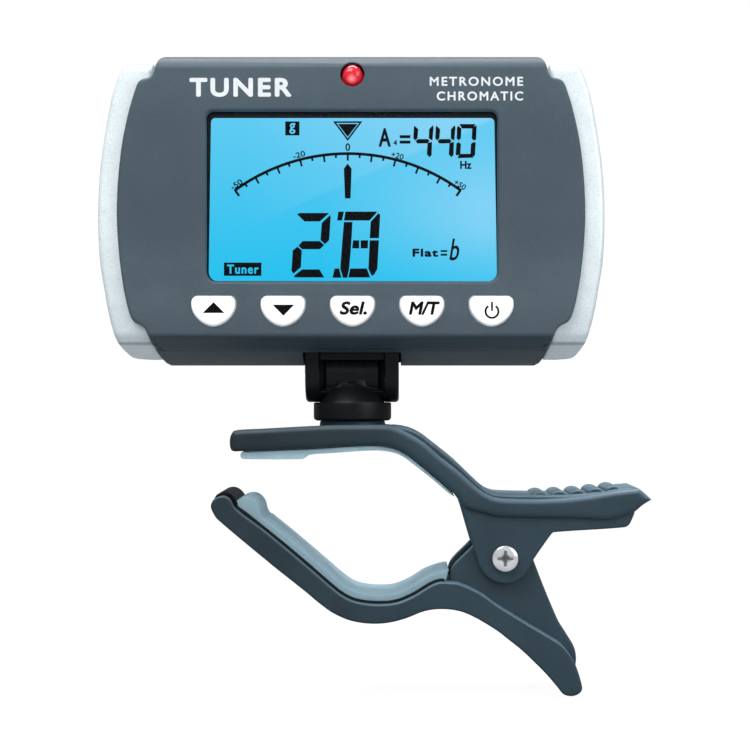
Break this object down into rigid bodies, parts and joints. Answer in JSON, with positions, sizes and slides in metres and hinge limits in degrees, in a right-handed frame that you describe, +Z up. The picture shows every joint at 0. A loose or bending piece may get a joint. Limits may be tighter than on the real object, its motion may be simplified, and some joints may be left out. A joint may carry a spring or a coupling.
{
  "type": "clip-on tuner",
  "caption": "Clip-on instrument tuner and metronome: display head with keys on a tilting, swivelling neck above a sprung jaw clip with rubber pads.",
  "frame": {"origin": "centre of the upper jaw pad's flat gripping face, in the middle of the clip's width", "axes": "+Z up from the jaw towards the display head, +X to the right of the display, and the display faces -Y"},
  "size_m": [0.0721, 0.016, 0.0833],
  "materials": {
    "slate_shell": "fine matte grain, slate grey",
    "dark_shell": "fine matte grain, dark slate",
    "silver_cap": "silver metallic paint with a fine sparkle",
    "clear_window": "clear, polished",
    "lcd_glass": "backlit blue liquid crystal display",
    "diffuser": "white light guide",
    "elastomer": "conductive elastomer",
    "circuit_board": "green solder mask",
    "epoxy_black": "glossy potting drop",
    "switch_black": "moulded switch body",
    "led_red": "red clear epoxy lens",
    "brass_disc": "satin brass",
    "bright_steel": "bright plated steel",
    "nickel_screw": "polished nickel",
    "spring_steel": "drawn wire",
    "white_key": "satin white",
    "black_plastic": "satin black",
    "lever_plastic": "satin dark slate, semi-gloss edges",
    "pad_rubber": "soft matt rubber, pale blue grey"
  },
  "bodies": {
    "upper_clip": {"upper_lever": "lever_plastic", "upper_pad": "pad_rubber", "pivot_screw": "nickel_screw", "pivot_nut": "bright_steel", "pivot_sleeve": "bright_steel", "torsion_spring": "spring_steel"},
    "lower_clip": {"lower_lever": "lever_plastic", "lower_pad": "pad_rubber"},
    "neck": {"swivel_post": "black_plastic", "swivel_washer": "bright_steel", "swivel_screw": "bright_steel"},
    "head": {"front_shell": "slate_shell", "rear_shell": "dark_shell", "end_cap_left": "silver_cap", "end_cap_right": "silver_cap", "window_lens": "clear_window", "lcd_panel": "lcd_glass", "backlight_panel": "diffuser", "zebra_strip": "elastomer", "main_pcb": "circuit_board", "controller_blob": "epoxy_black", "crystal_can": "bright_steel", "status_led": "led_red", "switch_up": "switch_black", "switch_down": "switch_black", "switch_select": "switch_black", "switch_mode": "switch_black", "switch_power": "switch_black", "buzzer": "brass_disc", "pickup_disc": "brass_disc", "coin_cell": "bright_steel", "contact_negative": "brass_disc", "contact_positive": "brass_disc", "case_screw_tl": "bright_steel", "case_screw_tr": "bright_steel", "case_screw_bl": "bright_steel", "case_screw_br": "bright_steel", "tilt_bracket": "black_plastic", "tilt_pin": "bright_steel", "bracket_screw_left": "bright_steel", "bracket_screw_right": "bright_steel"},
    "key_up": {"key_up": "white_key"},
    "key_down": {"key_down": "white_key"},
    "key_select": {"key_select": "white_key"},
    "key_mode": {"key_mode": "white_key"},
    "key_power": {"key_power": "white_key"},
    "door": {"battery_door": "dark_shell"}
  },
  "joints": [
    {"name": "jaw_open", "type": "hinge", "parent": "upper_clip", "child": "lower_clip", "pos_m": [0.03044, 0, -0.0129], "axis": [0, -1, 0], "range_deg": [0, 35], "stiffness_Nm_per_rad": 0.05, "springref_deg": -57.3, "deforming": ["torsion_spring"]},
    {"name": "head_swivel", "type": "hinge", "parent": "upper_clip", "child": "neck", "pos_m": [0.0104, 0, 0.006], "axis": [0, 0, 1], "continuous": true},
    {"name": "head_tilt", "type": "hinge", "parent": "neck", "child": "head", "pos_m": [0.0104, 0, 0.011], "axis": [1, 0, 0], "range_deg": [-45, 50]},
    {"name": "press_up", "type": "slide", "parent": "head", "child": "key_up", "axis": [0, 1, 0], "range_m": [0, 0.0005], "stiffness_N_per_m": 40},
    {"name": "press_down", "type": "slide", "parent": "head", "child": "key_down", "axis": [0, 1, 0], "range_m": [0, 0.0005], "stiffness_N_per_m": 40},
    {"name": "press_select", "type": "slide", "parent": "head", "child": "key_select", "axis": [0, 1, 0], "range_m": [0, 0.0005], "stiffness_N_per_m": 40},
    {"name": "press_mode", "type": "slide", "parent": "head", "child": "key_mode", "axis": [0, 1, 0], "range_m": [0, 0.0005], "stiffness_N_per_m": 40},
    {"name": "press_power", "type": "slide", "parent": "head", "child": "key_power", "axis": [0, 1, 0], "range_m": [0, 0.0005], "stiffness_N_per_m": 40},
    {"name": "door_slide", "type": "slide", "parent": "head", "child": "door", "axis": [0, 0, 1], "range_m": [0, 0.028]}
  ]
}
